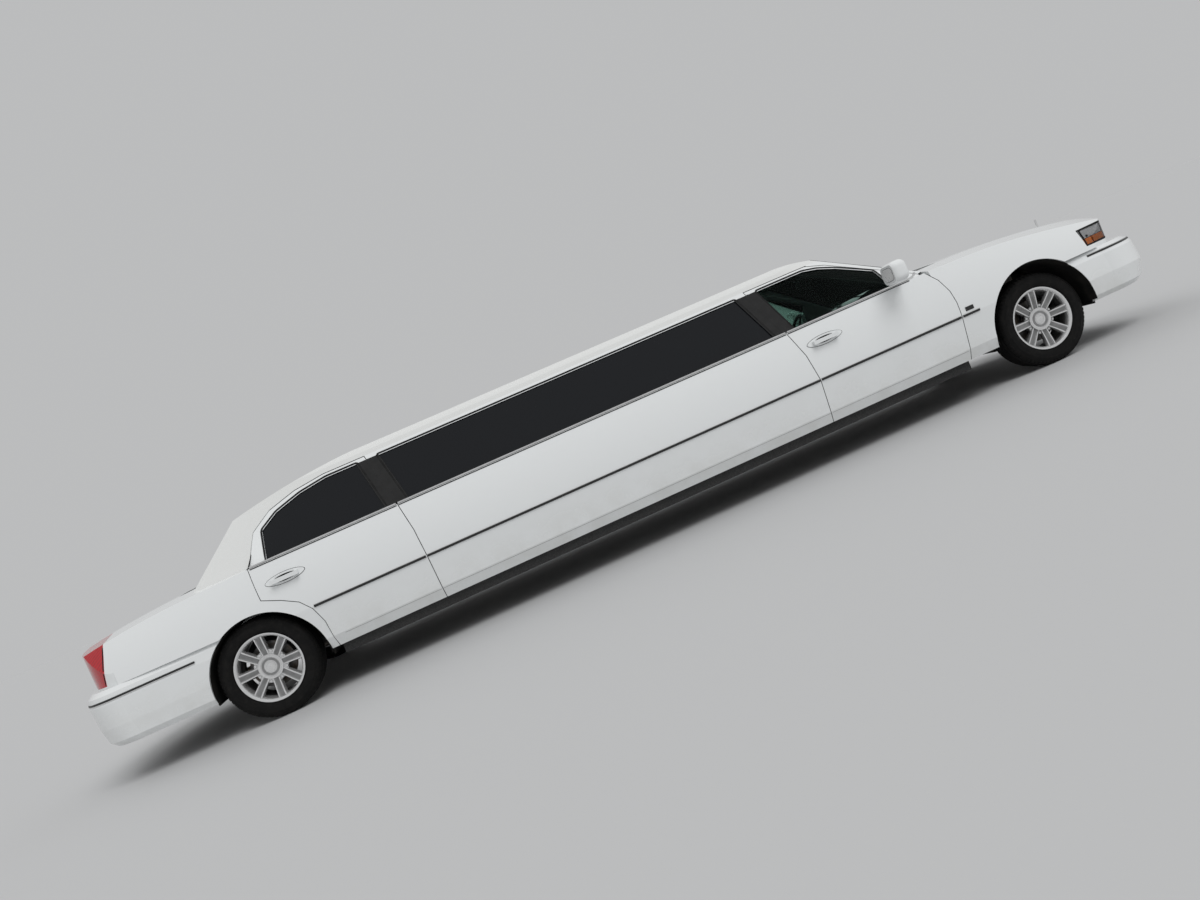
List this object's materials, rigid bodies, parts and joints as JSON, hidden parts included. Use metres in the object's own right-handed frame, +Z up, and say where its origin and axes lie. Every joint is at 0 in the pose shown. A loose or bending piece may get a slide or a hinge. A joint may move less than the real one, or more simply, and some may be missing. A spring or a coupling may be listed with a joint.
{
  "type": "stretch limousine",
  "caption": "Full-size stretch limousine with long side windows, vinyl covered roof, opening doors, hood and trunk lid, and steered front wheels.",
  "frame": {"origin": "on the ground, midway along the overall length, on the centre plane", "axes": "+X forward, +Y to the car's left, +Z up"},
  "size_m": [8.5186, 2.314, 1.497],
  "materials": {
    "body_paint": "gloss white enamel",
    "roof_cover": "grained white vinyl",
    "bright_trim": "polished",
    "lamp_clear": "clear lens",
    "lamp_red": "red lens",
    "clear_glass": "light green tint",
    "tinted_glass": "limousine tint",
    "chassis_black": "satin black",
    "liner_black": "matt",
    "cast_metal": "as cast",
    "exhaust_steel": "dull",
    "seat_leather": "soft grain",
    "cabin_trim": "soft touch",
    "wheel_alloy": "machined",
    "tyre_rubber": "matt rubber"
  },
  "bodies": {
    "root": {"cowl_panel": "body_paint", "cross_panels": "chassis_black", "crossmembers": "chassis_black", "dashboard": "cabin_trim", "driveline": "cast_metal", "engine_block": "cast_metal", "exhaust": "exhaust_steel", "floor_pan": "chassis_black", "frame_rails": "chassis_black", "front_bumper": "body_paint", "front_fenders": "body_paint", "front_seats": "seat_leather", "front_suspension": "chassis_black", "fuel_tank": "liner_black", "grille": "bright_trim", "headlamps": "lamp_clear", "lounge_seats": "seat_leather", "partition": "cabin_trim", "quarter_panels": "body_paint", "rear_axle": "chassis_black", "rear_bumper": "body_paint", "rear_posts": "roof_cover", "rear_window": "tinted_glass", "roof_panel": "roof_cover", "side_panels": "body_paint", "side_windows": "tinted_glass", "tail_lamps": "lamp_red", "tail_panel": "chassis_black", "wheelhouses": "liner_black", "windshield": "clear_glass", "windshield_posts": "body_paint"},
    "hood": {"hood": "body_paint"},
    "trunk_lid": {"trunk_lid": "body_paint"},
    "steering_wheel": {"steering_wheel": "cabin_trim"},
    "knuckle_left": {"knuckle_left": "cast_metal"},
    "door_front_left": {"door_front_left": "body_paint", "glass_front_left": "clear_glass"},
    "door_rear_left": {"door_rear_left": "body_paint", "glass_rear_left": "tinted_glass"},
    "knuckle_right": {"knuckle_right": "cast_metal"},
    "door_front_right": {"door_front_right": "body_paint", "glass_front_right": "clear_glass"},
    "door_rear_right": {"door_rear_right": "body_paint", "glass_rear_right": "tinted_glass"},
    "wheel_front_left": {"tyre_front_left": "tyre_rubber", "rim_front_left": "wheel_alloy"},
    "wheel_front_right": {"tyre_front_right": "tyre_rubber", "rim_front_right": "wheel_alloy"},
    "wheel_rear_left": {"tyre_rear_left": "tyre_rubber", "rim_rear_left": "wheel_alloy"},
    "wheel_rear_right": {"tyre_rear_right": "tyre_rubber", "rim_rear_right": "wheel_alloy"}
  },
  "joints": [
    {"name": "hood_hinge", "type": "hinge", "parent": "root", "child": "hood", "pos_m": [2.6045, 0, 0.99], "axis": [0, -1, 0], "range_deg": [0, 52]},
    {"name": "trunk_hinge", "type": "hinge", "parent": "root", "child": "trunk_lid", "pos_m": [-3.2365, 0, 1], "axis": [0, 1, 0], "range_deg": [0, 70]},
    {"name": "steer_left", "type": "hinge", "parent": "root", "child": "knuckle_left", "pos_m": [3.1695, 0.7265, 0.343], "axis": [0, 0, 1], "range_deg": [-32, 32]},
    {"name": "steer_right", "type": "hinge", "parent": "root", "child": "knuckle_right", "pos_m": [3.1695, -0.7265, 0.343], "axis": [0, 0, 1], "range_deg": [-32, 32]},
    {"name": "steering_wheel_turn", "type": "hinge", "parent": "root", "child": "steering_wheel", "pos_m": [1.8695, 0.375, 0.925], "axis": [-0.9135, 0, 0.4067], "range_deg": [-480, 480]},
    {"name": "door_front_left_hinge", "type": "hinge", "parent": "root", "child": "door_front_left", "pos_m": [2.4785, 0.98, 0.6], "axis": [0, 0, -1], "range_deg": [0, 65]},
    {"name": "door_rear_left_hinge", "type": "hinge", "parent": "root", "child": "door_rear_left", "pos_m": [-1.6815, 0.98, 0.6], "axis": [0, 0, -1], "range_deg": [0, 65]},
    {"name": "door_front_right_hinge", "type": "hinge", "parent": "root", "child": "door_front_right", "pos_m": [2.4785, -0.98, 0.6], "axis": [0, 0, 1], "range_deg": [0, 65]},
    {"name": "door_rear_right_hinge", "type": "hinge", "parent": "root", "child": "door_rear_right", "pos_m": [-1.6815, -0.98, 0.6], "axis": [0, 0, 1], "range_deg": [0, 65]},
    {"name": "wheel_front_left_spin", "type": "hinge", "parent": "knuckle_left", "child": "wheel_front_left", "pos_m": [3.1695, 0.8015, 0.343], "axis": [0, 1, 0], "continuous": true},
    {"name": "wheel_front_right_spin", "type": "hinge", "parent": "knuckle_right", "child": "wheel_front_right", "pos_m": [3.1695, -0.8015, 0.343], "axis": [0, 1, 0], "continuous": true},
    {"name": "wheel_rear_left_spin", "type": "hinge", "parent": "root", "child": "wheel_rear_left", "pos_m": [-2.8685, 0.832, 0.343], "axis": [0, 1, 0], "continuous": true},
    {"name": "wheel_rear_right_spin", "type": "hinge", "parent": "root", "child": "wheel_rear_right", "pos_m": [-2.8685, -0.832, 0.343], "axis": [0, 1, 0], "continuous": true}
  ],
  "couplings": [
    {"joint": "steer_right", "follows": "steer_left", "ratio": 1},
    {"joint": "steering_wheel_turn", "follows": "steer_left", "ratio": 15}
  ]
}
